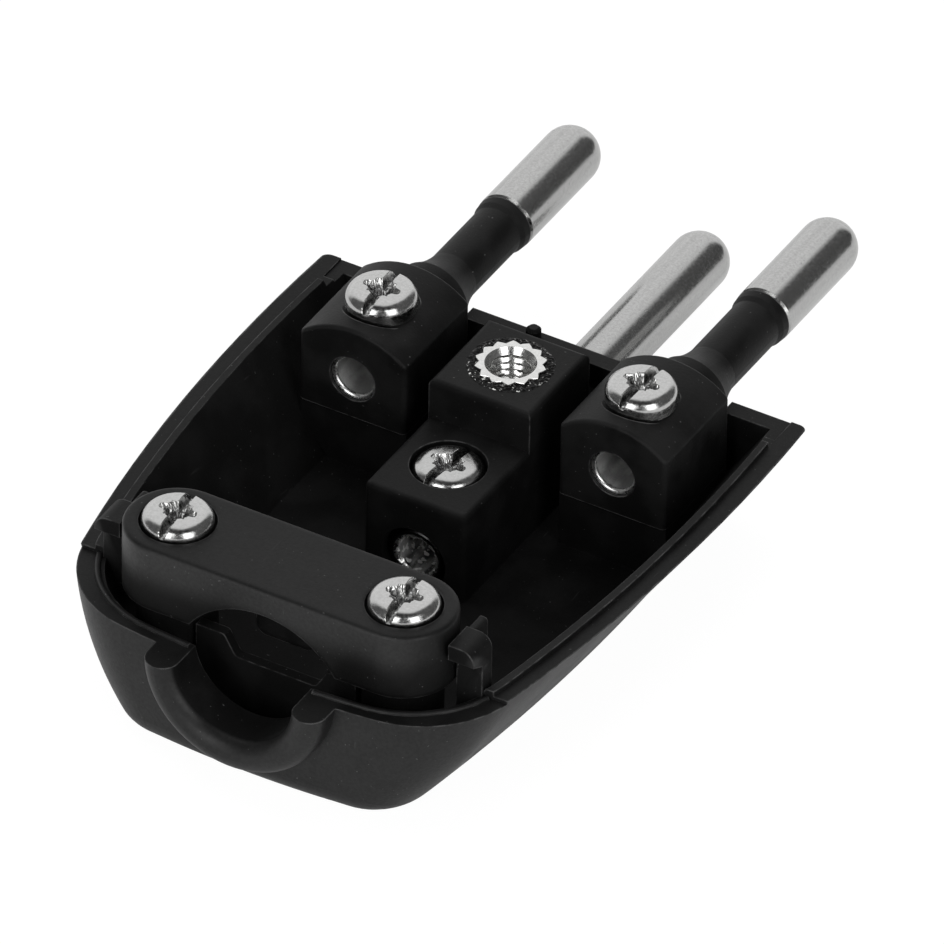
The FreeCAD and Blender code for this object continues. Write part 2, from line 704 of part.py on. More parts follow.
def clamp_posts(body):
    posts = new_sketch(body, "clamp_posts", "XY_Plane", FLOOR)
    holes = new_sketch(body, "post_holes", "XY_Plane", "clamp_foot")
    for side in ("-", ""):
        middle = side + CLAMP_HALF
        ring(posts, middle, "-clamp_back", "boss_radius - post_inset")
        ring(holes, middle, "-clamp_back", "shank_radius + shank_gap")
    extrude(body, "Pad", posts, ABOVE_FLOOR + " + clamp_foot")
    saddle = new_sketch(body, "cable_saddle", "XZ_Plane", "rib_back - rib_width / 2")
    end = CLAMP_HALF + " - boss_radius + post_inset + root"
    bend = "rib_flat_half + rib_rise"
    outline(saddle, [
        ("-(%s)" % end, FLOOR),
        (end, FLOOR),
        (end, "-rib_end_drop"),
        (bend, "-rib_end_drop"),
        ("rib_flat_half", "-rib_drop"),
        ("-rib_flat_half", "-rib_drop"),
        ("-(%s)" % bend, "-rib_end_drop"),
        ("-(%s)" % end, "-rib_end_drop"),
    ])
    extrude(body, "Pad", saddle, "rib_width")
    bends = [value(level) for level in ("-rib_drop", "-rib_end_drop")]
    reach = value(bend)
    soften(body, "Fillet", "rib_round", lambda edge: abs(edge.BoundBox.YLength - value("rib_width")) < 0.01
           and any(all_at(edge, "z", level) for level in bends) and abs(edge.BoundBox.Center.x) < reach + 0.01)
    depth = "clamp_shank + clamp_seat_depth - clamp_top + clamp_foot + shank_room"
    extrude(body, "Pocket", holes, depth)


# Snap lugs at the rear corners: stem, nose to the rear, rounded outer shoulder and a slim nub in front
def snap_lugs(body):
    back = "-lug_front - lug_stem - lug_nose"
    stem_back = "-lug_front - lug_stem"
    sides = (("left", "-" + LUG_OUTER, "-%s - nub_width" % LUG_INNER), ("right", LUG_INNER, LUG_INNER))
    for name, start, nub_start in sides:
        hook = new_sketch(body, "lug_" + name, "YZ_Plane", start)
        outline(hook, [
            (stem_back, "-" + LUG_ROOT),
            ("-lug_front", "-" + LUG_ROOT),
            ("-lug_front", "lug_top"),
            (back, "lug_top"),
            (back, "lug_neck + lug_nose / 2"),
            (stem_back, "lug_neck"),
        ])
        extrude(body, "Pad", hook, "lug_width")
        nub = new_sketch(body, "nub_" + name, "YZ_Plane", nub_start)
        box_outline(nub, "-lug_front - root", "nub_length - lug_front", "-" + LUG_ROOT, "lug_top - nub_drop")
        extrude(body, "Pad", nub, "nub_width")
    outer, crown, nub_crown = (value(text) for text in (LUG_OUTER, "lug_top", "lug_top - nub_drop"))
    soften(body, "Fillet", "lug_round",
           lambda edge: all_at(edge, "z", crown) and abs(abs(edge.BoundBox.Center.x) - outer) < 0.01)
    soften(body, "Fillet", "nub_round",
           lambda edge: all_at(edge, "z", nub_crown) and edge.BoundBox.YLength > 1)


def base_shell():
    body = new_body("base_shell")
    for stage in (shell_walls, cable_entry, shell_cavity, front_edge, centre_block, plinths,
                  clamp_posts, snap_lugs):
        stage(body)
    return body


line_side, neutral_side = "-pin_spacing / 2", "pin_spacing / 2"
terminal_seat = "carrier_top - terminal_seat_depth"
clamp_seat = "clamp_top - clamp_seat_depth"
pieces = [
    base_shell(),
    live_pin("line_pin", line_side),
    live_pin("neutral_pin", neutral_side),
    earth_pin(),
    insulator("line_insulator", line_side),
    insulator("neutral_insulator", neutral_side),
    screw("line_screw", "terminal_shank", line_side, "-terminal_screw_back", terminal_seat),
    screw("neutral_screw", "terminal_shank", neutral_side, "-terminal_screw_back", terminal_seat),
    screw("earth_screw", "earth_shank", "0", "-earth_screw_back", "-step_drop - earth_seat_depth"),
    screw("clamp_screw_left", "clamp_shank", "-" + CLAMP_HALF, "-clamp_back", clamp_seat),
    screw("clamp_screw_right", "clamp_shank", CLAMP_HALF, "-clamp_back", clamp_seat),
    cover_insert(),
    cable_clamp(),
]
doc.recompute()

for item in doc.Objects:
    if "Invalid" in item.State or "Error" in item.State:
        raise RuntimeError("%s is not up to date: %s" % (item.Label, item.State))
os.makedirs("parts", exist_ok=True)
for piece in pieces:
    shape = piece.Shape
    if shape.isNull() or not shape.isValid() or len(shape.Solids) != 1:
        raise RuntimeError("%s has no single valid solid" % piece.Label)
    shape.exportStep("parts/%s.step" % piece.Label)
    print("%-18s %8.1f mm3" % (piece.Label, shape.Volume))
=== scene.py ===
import math

import bmesh
import bpy
import numpy as np
from mathutils import Matrix, Vector


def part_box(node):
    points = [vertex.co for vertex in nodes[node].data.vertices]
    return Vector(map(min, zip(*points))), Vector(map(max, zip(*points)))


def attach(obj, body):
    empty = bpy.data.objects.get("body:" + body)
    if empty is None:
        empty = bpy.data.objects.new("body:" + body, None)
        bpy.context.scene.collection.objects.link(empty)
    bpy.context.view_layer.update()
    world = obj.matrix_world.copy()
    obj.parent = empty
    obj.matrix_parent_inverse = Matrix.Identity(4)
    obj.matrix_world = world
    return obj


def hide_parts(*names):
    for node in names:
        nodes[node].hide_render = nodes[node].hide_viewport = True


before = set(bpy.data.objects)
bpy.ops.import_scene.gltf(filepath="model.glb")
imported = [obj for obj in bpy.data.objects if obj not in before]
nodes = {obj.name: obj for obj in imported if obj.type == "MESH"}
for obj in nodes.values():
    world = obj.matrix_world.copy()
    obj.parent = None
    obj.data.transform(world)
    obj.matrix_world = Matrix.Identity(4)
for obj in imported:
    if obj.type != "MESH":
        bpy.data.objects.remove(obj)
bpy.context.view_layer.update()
mm = 0.001
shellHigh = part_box("base_shell")[1]
print("frame loaded:", len(nodes), "nodes")


# Camera: a long lens over the rear right corner of the plug
cameraView = {"azimuth": 29.616, "elevation": 37.747, "roll": 0.968, "distance": 1.390,
              "pivot": (0.0, 5.075 * mm, 8.65 * mm), "slide": (1.605 * mm, -0.560 * mm),
              "pixelsPerMm": 15.844, "picture": 944, "sensor": 36.0, "clip": (0.1, 20.0)}


def addCamera():
    az, el, roll = (math.radians(cameraView[key]) for key in ("azimuth", "elevation", "roll"))
    back = Vector((math.sin(az) * math.cos(el), -math.cos(az) * math.cos(el), math.sin(el)))
    level = Vector((math.cos(az), math.sin(az), 0.0))
    upright = back.cross(level)
    right = level * math.cos(roll) + upright * math.sin(roll)
    up = upright * math.cos(roll) - level * math.sin(roll)
    across, rise = cameraView["slide"]
    spot = Vector(cameraView["pivot"]) + back * cameraView["distance"] + right * across + up * rise
    data = bpy.data.cameras.new("camera")
    data.sensor_width = cameraView["sensor"]
    focalPixels = cameraView["distance"] / mm * cameraView["pixelsPerMm"]
    data.lens = cameraView["sensor"] * focalPixels / cameraView["picture"]
    data.clip_start, data.clip_end = cameraView["clip"]
    camera = bpy.data.objects.new("camera", data)
    turn = Matrix((right, up, back)).transposed()
    camera.matrix_world = Matrix.Translation(spot) @ turn.to_4x4()
    bpy.context.scene.collection.objects.link(camera)
    bpy.context.scene.camera = camera


# Small helpers for shader trees
def newMaterial(name):
    material = bpy.data.materials.new(name)
    material.use_nodes = True
    tree = material.node_tree
    return material, tree, tree.nodes["Principled BSDF"]


def addNode(tree, kind, settings=None, **links):
    node = tree.nodes.new(kind)
    for key, value in (settings or {}).items():
        if hasattr(node, key):
            setattr(node, key, value)
        else:
            node.inputs[key].default_value = value
    for key, source in links.items():
        tree.links.new(source, node.inputs[key.replace("_", " ")])
    return node


def calc(tree, operation, *terms):
    node = tree.nodes.new("ShaderNodeMath")
    node.operation = operation
    for place, term in zip(node.inputs, terms):
        if isinstance(term, (int, float)):
            place.default_value = term
        else:
            tree.links.new(term, place)
    return node.outputs[0]


# Soft step of a value from one range to another
def spread(tree, source, low, high, toLow=0.0, toHigh=1.0):
    limits = {"interpolation_type": "SMOOTHSTEP", "From Min": low, "From Max": high,
              "To Min": toLow, "To Max": toHigh}
    return addNode(tree, "ShaderNodeMapRange", limits, Value=source).outputs["Result"]


def blend(tree, share, first, second):
    return calc(tree, "ADD", calc(tree, "MULTIPLY", calc(tree, "SUBTRACT", 1.0, share), first),
                calc(tree, "MULTIPLY", share, second))


def noise(tree, place, scale, detail, stretch=(1, 1, 1)):
    stretched = addNode(tree, "ShaderNodeMapping", {"Scale": stretch}, Vector=place).outputs[0]
    texture = addNode(tree, "ShaderNodeTexNoise", {"Scale": scale, "Detail": detail}, Vector=stretched)
    return texture.outputs[0]


# Noise whose values from start to end are stepped softly from low to high
def pattern(tree, place, scale, detail, start, end, low=0.0, high=1.0, stretch=(1, 1, 1)):
    return spread(tree, noise(tree, place, scale, detail, stretch), start, end, low, high)


def splitAxes(tree, source):
    parts = addNode(tree, "ShaderNodeSeparateXYZ", Vector=source).outputs
    return parts["X"], parts["Y"], parts["Z"]


# The way that the surface faces, on the piece's own axes
def facingAxes(tree):
    return splitAxes(tree, addNode(tree, "ShaderNodeTexCoord").outputs["Normal"])


# Sockets of a new colour mix: share, first colour, second colour and result
def mixColours(tree, kind):
    node = addNode(tree, "ShaderNodeMix", {"data_type": "RGBA", "blend_type": kind})
    return node.inputs[0], node.inputs[6], node.inputs[7], node.outputs[2]


# Studio: pale floor, bright front left, darker right, dark overhead, a soft lamp on each side of the camera
studio = {"floorSize": 6.0, "floorDrop": 0.02, "floorColour": 0.9, "floorRoughness": 0.9, "floorGlow": 1.05,
          "seenGlow": 0.92, "mirroredGlow": 0.3,
          "frontSky": 1.05, "frontAcross": (0.30, 0.08), "frontAlong": (-0.15, 0.15),
          "dimSky": 0.125, "horizonSky": 0.11, "skyRise": (0.0, 0.7),
          "overhead": (0.27, -0.47, 0.84), "overheadEdge": (0.78, 0.93), "overheadShare": 0.25,
          "leftPower": 3.2, "leftSize": (0.46, 0.72), "leftSpot": (-0.05, -0.78, 0.36),
          "rightPower": 3.0, "rightSize": (0.42, 0.72), "rightSpot": (0.69, -0.36, 0.36),
          "fillPower": 2.6, "fillSize": (0.8, 0.8), "fillSpot": (-0.1, 0.1, 0.9)}


# Where share is 0 the first shader shows, where it is 1 the second
def mixShaders(tree, share, first, second, output):
    mix = addNode(tree, "ShaderNodeMixShader")
    for source, place in zip((share, first.outputs[0], second.outputs[0]), mix.inputs):
        tree.links.new(source, place)
    tree.links.new(mix.outputs[0], output.inputs["Surface"])


def addFloor():
    half, z = studio["floorSize"] / 2, -studio["floorDrop"] * mm
    mesh = bpy.data.meshes.new("floor")
    corners = [(-half, -half, z), (half, -half, z), (half, half, z), (-half, half, z)]
    mesh.from_pydata(corners, [], [(0, 1, 2, 3)])
    floor = bpy.data.objects.new("floor", mesh)
    bpy.context.scene.collection.objects.link(floor)
    material, tree, shader = newMaterial("pale_floor")
    shader.inputs["Base Color"].default_value = (studio["floorColour"],) * 3 + (1,)
    shader.inputs["Roughness"].default_value = studio["floorRoughness"]
    shader.inputs["Specular IOR Level"].default_value = 0.0
    glow = addNode(tree, "ShaderNodeEmission", {"Color": (1, 1, 1, 1), "Strength": studio["floorGlow"]})
    path = addNode(tree, "ShaderNodeLightPath").outputs
    mirrored = calc(tree, "MAXIMUM", path["Is Glossy Ray"], path["Is Transmission Ray"])
    share = calc(tree, "MAXIMUM", calc(tree, "MULTIPLY", path["Is Camera Ray"], studio["seenGlow"]),
                 calc(tree, "MULTIPLY", mirrored, studio["mirroredGlow"]))
    mixShaders(tree, share, shader, glow, tree.nodes["Material Output"])
    mesh.materials.append(material)


def addWorld():
    world = bpy.data.worlds.new("studio")
    bpy.context.scene.world = world
    world.use_nodes = True
    tree = world.node_tree
    tree.nodes.clear()
    ray = addNode(tree, "ShaderNodeTexCoord").outputs["Generated"]
    x, y, z = splitAxes(tree, ray)
    front = calc(tree, "MULTIPLY", spread(tree, x, *studio["frontAcross"]),
                 spread(tree, y, *studio["frontAlong"]))
    dim = spread(tree, z, *studio["skyRise"], studio["horizonSky"], studio["dimSky"])
    above = addNode(tree, "ShaderNodeVectorMath", {"operation": "DOT_PRODUCT"})
    tree.links.new(ray, above.inputs[0])
    above.inputs[1].default_value = Vector(studio["overhead"]).normalized()
    shade = spread(tree, above.outputs["Value"], *studio["overheadEdge"], 1.0, studio["overheadShare"])
    level = blend(tree, front, calc(tree, "MULTIPLY", dim, shade), studio["frontSky"])
    sky = addNode(tree, "ShaderNodeBackground", {"Color": (1, 1, 1, 1)}, Strength=level)
    white = addNode(tree, "ShaderNodeBackground", {"Color": (1, 1, 1, 1), "Strength": 1.0})
    seen = addNode(tree, "ShaderNodeLightPath").outputs["Is Camera Ray"]
    mixShaders(tree, seen, sky, white, addNode(tree, "ShaderNodeOutputWorld"))


def addLamp(name, mirrored=True):
    data = bpy.data.lights.new(name, "AREA")
    data.shape = "RECTANGLE"
    data.size, data.size_y = studio[name + "Size"]
    data.energy = studio[name + "Power"]
    lamp = bpy.data.objects.new(name, data)
    lamp.location = studio[name + "Spot"]
    aim = Vector((0, 0, shellHigh.z)) - lamp.location
    lamp.rotation_euler = aim.to_track_quat("-Z", "Y").to_euler()
    lamp.visible_glossy = mirrored
    bpy.context.scene.collection.objects.link(lamp)


# Shared effects as node groups: each takes a place on the piece and gives colour, roughness and height
def newGroup(name):
    group = bpy.data.node_groups.new(name, "ShaderNodeTree")
    group.interface.new_socket("Place", in_out="INPUT", socket_type="NodeSocketVector")
    group.interface.new_socket("Colour", in_out="OUTPUT", socket_type="NodeSocketColor")
    group.interface.new_socket("Roughness", in_out="OUTPUT", socket_type="NodeSocketFloat")
    group.interface.new_socket("Height", in_out="OUTPUT", socket_type="NodeSocketFloat")
    return group, group.nodes.new("NodeGroupInput").outputs["Place"], group.nodes.new("NodeGroupOutput")


def close(group, end, level, roughness, height):
    grey = addNode(group, "ShaderNodeCombineColor", Red=level, Green=level, Blue=level).outputs["Color"]
    group.links.new(grey, end.inputs["Colour"])
    group.links.new(roughness, end.inputs["Roughness"])
    group.links.new(height, end.inputs["Height"])
    return group


# Moulded plastic: fine eroded grain, broad cloudiness, a few pale scuffs and specks of dust
mouldForm = {"grain": {"scale": 5500, "detail": 2.0}, "grainRoughness": 0.08,
             "cloud": {"scale": 260, "detail": 4.0, "start": 0.35, "end": 0.68},
             "cloudLight": (0.004, 0.008), "cloudRoughness": (-0.04, 0.06),
             "line": {"scale": 900, "detail": 2.0, "start": 0.70, "end": 0.78, "stretch": (5.0, 0.35, 1.0)},
             "patch": {"scale": 120, "detail": 2.0, "start": 0.52, "end": 0.66},
             "scuffLight": 0.02, "scuffHeight": -0.8,
             "dust": {"scale": 6200, "detail": 0.0, "start": 0.83, "end": 0.88, "high": 0.06}}


def mouldSkin():
    form = mouldForm
    group, place, end = newGroup("mould_skin")
    grain = noise(group, place, **form["grain"])
    cloud = pattern(group, place, **form["cloud"])
    scuff = calc(group, "MULTIPLY", pattern(group, place, **form["line"]),
                 pattern(group, place, **form["patch"]))
    marks = calc(group, "ADD", calc(group, "MULTIPLY", scuff, form["scuffLight"]),
                 pattern(group, place, **form["dust"]))
    level = calc(group, "ADD", spread(group, cloud, 0, 1, *form["cloudLight"]), marks)
    rough = calc(group, "ADD", spread(group, cloud, 0, 1, *form["cloudRoughness"]),
                 calc(group, "MULTIPLY", grain, form["grainRoughness"]))
    height = calc(group, "ADD", grain, calc(group, "MULTIPLY", scuff, form["scuffHeight"]))
    return close(group, end, level, rough, height)


# Drawn metal: streaks along the length, a fine mottle and some pits
drawnForm = {"streak": {"scale": 2600, "detail": 4.0, "stretch": (1.0, 0.03, 1.0)},
             "streakTone": (0.95, 1.04), "streakHeight": 0.4,
             "mottle": {"scale": 6000, "detail": 3.0}, "mottleTone": (0.91, 1.06), "mottleHeight": 0.3,
             "mottleRoughness": (-0.04, 0.06), "middle": (0.3, 0.7),
             "pit": {"scale": 5200, "detail": 1.0, "start": 0.68, "end": 0.78}, "pitTone": 0.14}


def drawnMetal():
    form = drawnForm
    group, place, end = newGroup("drawn_metal")
    streak = noise(group, place, **form["streak"])
    mottle = noise(group, place, **form["mottle"])
    pit = pattern(group, place, **form["pit"])
    tone = calc(group, "MULTIPLY", spread(group, streak, *form["middle"], *form["streakTone"]),
                spread(group, mottle, *form["middle"], *form["mottleTone"]))
    level = calc(group, "SUBTRACT", tone, calc(group, "MULTIPLY", pit, form["pitTone"]))
    relief = calc(group, "ADD", calc(group, "MULTIPLY", streak, form["streakHeight"]),
                  calc(group, "MULTIPLY", mottle, form["mottleHeight"]))
    rough = spread(group, mottle, *form["middle"], *form["mottleRoughness"])
    return close(group, end, level, rough, calc(group, "SUBTRACT", relief, pit))


# Plated screw steel: fine spangle and a few specks
platedForm = {"spangle": {"scale": 5200, "detail": 3.0}, "middle": (0.3, 0.7), "tone": (0.93, 1.05),
              "roughness": (-0.05, 0.06),
              "speck": {"scale": 8200, "detail": 1.0, "start": 0.68, "end": 0.76, "high": 0.12}}


def platedSteel():
    form = platedForm
    group, place, end = newGroup("plated_steel")
    spangle = noise(group, place, **form["spangle"])
    level = calc(group, "ADD", spread(group, spangle, *form["middle"], *form["tone"]),
                 pattern(group, place, **form["speck"]))
    rough = spread(group, spangle, *form["middle"], *form["roughness"])
    return close(group, end, level, rough, spangle)


# Mix a second colour over the present base colour
def overlay(tree, shader, share, colour):
    plain = shader.inputs["Base Color"].links[0].from_socket
    mixShare, first, second, result = mixColours(tree, "MIX")
    tree.links.new(share, mixShare)
    tree.links.new(plain, first)
    second.default_value = (*colour, 1)
    tree.links.new(result, shader.inputs["Base Color"])


# Add to a value that already feeds the shader
def addTo(tree, place, more):
    tree.links.new(calc(tree, "ADD", place.links[0].from_socket, more), place)


# Pale convex edges, partly wear and partly painted highlight, kept above a given height: rays cast inwards
# find the near face across an edge, and a patchy noise breaks the line
edgeWearAndHighlightForm = {"samples": 6, "reach": 0.11, "near": (0.92, 0.55), "fade": 0.6,
            "patch": {"scale": 1100, "detail": 3.0, "start": 0.36, "end": 0.62, "low": 0.15}}


def paintEdgeWearAndHighlight(tree, shader, place, level, above):
    form = edgeWearAndHighlightForm
    rays = {"samples": form["samples"], "inside": True, "only_local": True, "Distance": form["reach"] * mm}
    near = addNode(tree, "ShaderNodeAmbientOcclusion", rays).outputs["AO"]
    wornAndLit = calc(tree, "MULTIPLY", spread(tree, near, *form["near"]), pattern(tree, place, **form["patch"]))
    height = splitAxes(tree, place)[2]
    wornAndLit = calc(tree, "MULTIPLY", wornAndLit, spread(tree, height, above * mm, (above + form["fade"]) * mm))
    # Lighten the edges: part wear, part painted highlight
    overlay(tree, shader, wornAndLit, (level, level, level))


# Finishes: an effect tinted by a base colour, with its relief and, where edge is set, soft edges that are
# pale, partly from wear and partly as painted highlight
finishForm = {"reliefDepth": 0.02, "edgeSamples": 6}


def finish(name, group, base, roughness, bump, metallic=0.0, sheen=0.5, edge=0.0, edgeWearAndHighlight=0.05, edgeWearAndHighlightAbove=-1.0):
    material, tree, shader = newMaterial(name)
    place = addNode(tree, "ShaderNodeTexCoord").outputs["Object"]
    effect = tree.nodes.new("ShaderNodeGroup")
    effect.node_tree = group
    tree.links.new(place, effect.inputs["Place"])
    share, first, second, result = mixColours(tree, "MULTIPLY")
    share.default_value = 1.0
    first.default_value = (*base, 1)
    tree.links.new(effect.outputs["Colour"], second)
    tree.links.new(result, shader.inputs["Base Color"])
    tree.links.new(calc(tree, "ADD", effect.outputs["Roughness"], roughness), shader.inputs["Roughness"])
    relief = addNode(tree, "ShaderNodeBump", {"Strength": bump, "Distance": finishForm["reliefDepth"] * mm},
                     Height=effect.outputs["Height"])
    if edge:
        soft = addNode(tree, "ShaderNodeBevel", {"samples": finishForm["edgeSamples"], "Radius": edge * mm})
        tree.links.new(soft.outputs["Normal"], relief.inputs["Normal"])
        # Pale edges, partly wear and partly painted highlight
        paintEdgeWearAndHighlight(tree, shader, place, edgeWearAndHighlight, edgeWearAndHighlightAbove)
    tree.links.new(relief.outputs["Normal"], shader.inputs["Normal"])
    shader.inputs["Metallic"].default_value = metallic
    shader.inputs["Specular IOR Level"].default_value = sheen
    shader.inputs["Coat Roughness"].default_value = roughness
    return material, tree, shader, place


# Sheen: a coat of the given weight with a fine unevenness
sheenForm = {"scale": 4200, "detail": 4.0, "start": 0.3, "end": 0.7, "low": 0.87, "high": 1.13}


def addSheen(tree, shader, place, coat):
    uneven = calc(tree, "MULTIPLY", coat, pattern(tree, place, **sheenForm))
    tree.links.new(uneven, shader.inputs["Coat Weight"])


# Shell: the sheen is painted light and shade: the outside and the upward rims keep a sheen, the hollow stays
# dull
shellForm = {"finish": {"base": (1, 1, 1), "roughness": 0.46, "bump": 0.7, "sheen": 0.1, "edge": 0.12,
                        "edgeWearAndHighlight": 0.08, "edgeWearAndHighlightAbove": 5.8},
             "topWidth": 16.6, "footWidth": 11.0, "length": 20.1, "roundness": 4.0, "wallReach": (0.74, 0.84),
             "outward": (0.1, 0.4), "outSheen": 0.48, "upward": (0.6, 0.85), "rimHeight": (6.8, 7.8),
             "topSheen": 0.13, "hollowRough": 0.3, "dullBelow": 0.2}


# The outer wall is found by a rounded square: the places across and along, as shares of the half sizes
# at that height, are raised to a high power and added
def shellFinish(group):
    form = shellForm
    material, tree, shader, place = finish("shell_moulding", group, **form["finish"])
    x, y, z = splitAxes(tree, place)
    leanX, leanY, leanZ = facingAxes(tree)
    widths = {"From Max": shellHigh.z, "To Min": form["footWidth"] * mm, "To Max": form["topWidth"] * mm}
    across = calc(tree, "DIVIDE", x, addNode(tree, "ShaderNodeMapRange", widths, Value=z).outputs["Result"])
    along = calc(tree, "MINIMUM", calc(tree, "DIVIDE", y, form["length"] * mm), 0.0)
    reach = calc(tree, "ADD", calc(tree, "POWER", calc(tree, "ABSOLUTE", across), form["roundness"]),
                 calc(tree, "POWER", along, form["roundness"]))
    outward = calc(tree, "ADD", calc(tree, "MULTIPLY", across, leanX), calc(tree, "MULTIPLY", along, leanY))
    outside = calc(tree, "MULTIPLY", spread(tree, reach, *form["wallReach"], 0.0, form["outSheen"]),
                   spread(tree, outward, *form["outward"]))
    start, end = form["rimHeight"]
    tops = calc(tree, "MULTIPLY", spread(tree, leanZ, *form["upward"], 0.0, form["topSheen"]),
                spread(tree, z, start * mm, end * mm))
    # Painted light and shade: the sheen follows the outer wall and the upward rims, the hollow gets none
    coat = calc(tree, "MAXIMUM", outside, tops)
    addSheen(tree, shader, place, coat)
    dull = spread(tree, coat, 0.0, form["dullBelow"], form["hollowRough"], 0.0)
    addTo(tree, shader.inputs["Roughness"], dull)
    return material


# Clamp: broad rounds, and its sheen is painted shade, duller towards its foot and its right end
clampForm = {"finish": {"base": (1, 1, 1), "roughness": 0.46, "bump": 0.6, "sheen": 0.1, "edge": 0.5},
             "height": (10.2, 12.4), "footShare": 0.04, "upward": (0.3, 0.95), "sideSheen": 0.6,
             "topSheen": 0.18, "rightward": (0.45, 0.9), "rightShare": 0.4}


def clampFinish(group):
    form = clampForm
    material, tree, shader, place = finish("clamp_moulding", group, **form["finish"])
    height = splitAxes(tree, place)[2]
    leanX, leanZ = facingAxes(tree)[::2]
    foot, top = form["height"]
    # Painted shade: less sheen towards the foot and on faces turned to the right
    sheen = calc(tree, "MULTIPLY", spread(tree, height, foot * mm, top * mm, form["footShare"], 1.0),
                 spread(tree, leanZ, *form["upward"], form["sideSheen"], form["topSheen"]))
    sheen = calc(tree, "MULTIPLY", sheen, spread(tree, leanX, *form["rightward"], 1.0, form["rightShare"]))
    addSheen(tree, shader, place, sheen)
    return material


# Terminal carriers: a paler moulding with sharper edges, which are paler than the shell's, partly from wear
# and partly as painted highlight
carrierForm = {"base": (1.4, 1.4, 1.4), "roughness": 0.44, "bump": 0.6, "sheen": 0.12, "edge": 0.1,
               "edgeWearAndHighlight": 0.13}


# Pin plating: the wire bore, which is close to the axis, is darkened with blotches of painted shade, is
# rougher and shows the drill's rings
pinForm = {"finish": {"base": (0.44, 0.44, 0.435), "roughness": 0.2, "bump": 0.25, "metallic": 1.0},
           "boreMetal": {"line_pin": 0.32, "neutral_pin": 0.32, "earth_pin": 0.5}, "boreRoughness": 0.14,
           "boreWall": (1.44, 1.40), "boreEnd": (7.0, 6.5), "ringPitch": 0.11, "ringHeight": 1.3,
           "boreShade": {"scale": 620, "detail": 3.0, "start": 0.4, "end": 0.6, "high": 0.5,
                     "stretch": (1.0, 0.35, 1.0)},
           "boreShadeColour": (0.05, 0.05, 0.05)}

# Earth pin: its bore is torn, with painted glints and deeper painted shade, and its end face is darkened as
# painted shade
tornForm = {"boreShade": {"scale": 1250, "detail": 3.0, "start": 0.4, "end": 0.6, "high": 0.96,
                      "stretch": (1.0, 0.35, 1.0)},
            "tear": {"scale": 1700, "detail": 3.0}, "tearHeight": 40.0,
            "endFace": (0.9, 0.5), "endRadius": (1.64, 1.72), "endShadeColour": (0.04, 0.04, 0.04),
            "paintedGlint": {"scale": 2300, "detail": 2.0, "start": 0.54, "end": 0.6},
            "paintedGlintColour": (0.95, 0.95, 0.94)}


def pinFinish(name, group, nodeName, boreMetal, torn):
    form = pinForm
    material, tree, shader, place = finish(name, group, **form["finish"])
    low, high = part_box(nodeName)
    centre = (Vector(low) + Vector(high)) / 2
    x, y, z = splitAxes(tree, place)
    across, rise = calc(tree, "SUBTRACT", x, centre.x), calc(tree, "SUBTRACT", z, centre.z)
    reach = calc(tree, "SQRT", calc(tree, "ADD", calc(tree, "MULTIPLY", across, across),
                                    calc(tree, "MULTIPLY", rise, rise)))

    # Soft mask by the distances from the axis and from the rear end
    def zone(radii, lengths):
        return calc(tree, "MULTIPLY", spread(tree, reach, radii[0] * mm, radii[1] * mm),
                    spread(tree, y, low[1] + lengths[0] * mm, low[1] + lengths[1] * mm))

    bore = zone(form["boreWall"], form["boreEnd"])
    tree.links.new(spread(tree, bore, 0, 1, 1.0, boreMetal), shader.inputs["Metallic"])
    addTo(tree, shader.inputs["Roughness"], calc(tree, "MULTIPLY", bore, form["boreRoughness"]))
    # Painted shade: dark blotches over the bore
    boreShade = pattern(tree, place, **(tornForm if torn else form)["boreShade"])
    overlay(tree, shader, calc(tree, "MULTIPLY", bore, boreShade), form["boreShadeColour"])
    rings = calc(tree, "SINE", calc(tree, "MULTIPLY", y, 2 * math.pi / (form["ringPitch"] * mm)))
    rings = calc(tree, "MULTIPLY", rings, form["ringHeight"])
    if torn:
        tear = calc(tree, "MULTIPLY", noise(tree, place, **tornForm["tear"]), tornForm["tearHeight"])
        rings = calc(tree, "ADD", rings, tear)
        # Painted shade on the earth pin's end face
        overlay(tree, shader, zone(tornForm["endRadius"], tornForm["endFace"]), tornForm["endShadeColour"])
        # Painted glints in the torn bore
        paintedGlints = calc(tree, "MULTIPLY", bore, pattern(tree, place, **tornForm["paintedGlint"]))
        overlay(tree, shader, paintedGlints, tornForm["paintedGlintColour"])
    relief = shader.inputs["Normal"].links[0].from_node
    addTo(tree, relief.inputs["Height"], calc(tree, "MULTIPLY", bore, rings))
    return material


def dress(names, material):
    for name in names:
        node = nodes[name]
        for place in node.material_slots:
            place.material = material


# A skin over a grid of points: columns run round and close on themselves, rows close too or end in flat caps
def skin(name, grid, loopRows=False):
    rows, columns = grid.shape[:2]
    index = np.arange(rows * columns).reshape(rows, columns)
    nextRow = np.roll(index, -1, axis=0)
    nextColumn, corner = np.roll(index, -1, axis=1), np.roll(nextRow, -1, axis=1)
    quads = np.stack([index, nextColumn, corner, nextRow], axis=-1)
    quads = quads if loopRows else quads[:-1]
    faces = quads.reshape(-1, 4).tolist()
    if not loopRows:
        faces += [index[0].tolist(), index[-1].tolist()]
    mesh = bpy.data.meshes.new(name)
    mesh.from_pydata((grid.reshape(-1, 3) * mm).tolist(), [], faces)
    shape = bmesh.new()
    shape.from_mesh(mesh)
    bmesh.ops.recalc_face_normals(shape, faces=shape.faces)
    shape.to_mesh(mesh)
    shape.free()
    piece = bpy.data.objects.new(name, mesh)
    bpy.context.scene.collection.objects.link(piece)
    return piece


def smoothShade(piece, sharpAngle):
    mesh = piece.data
    mesh.polygons.foreach_set("use_smooth", np.ones(len(mesh.polygons), dtype=bool))
    mesh.set_sharp_from_angle(angle=math.radians(sharpAngle))


# Low and high corner of a CAD node in millimetres
def boxMm(nodeName):
    return [np.array(corner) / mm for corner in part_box(nodeName)]


def fullTurn(columns):
    return np.linspace(0, 2 * np.pi, columns, endpoint=False)[None, :]


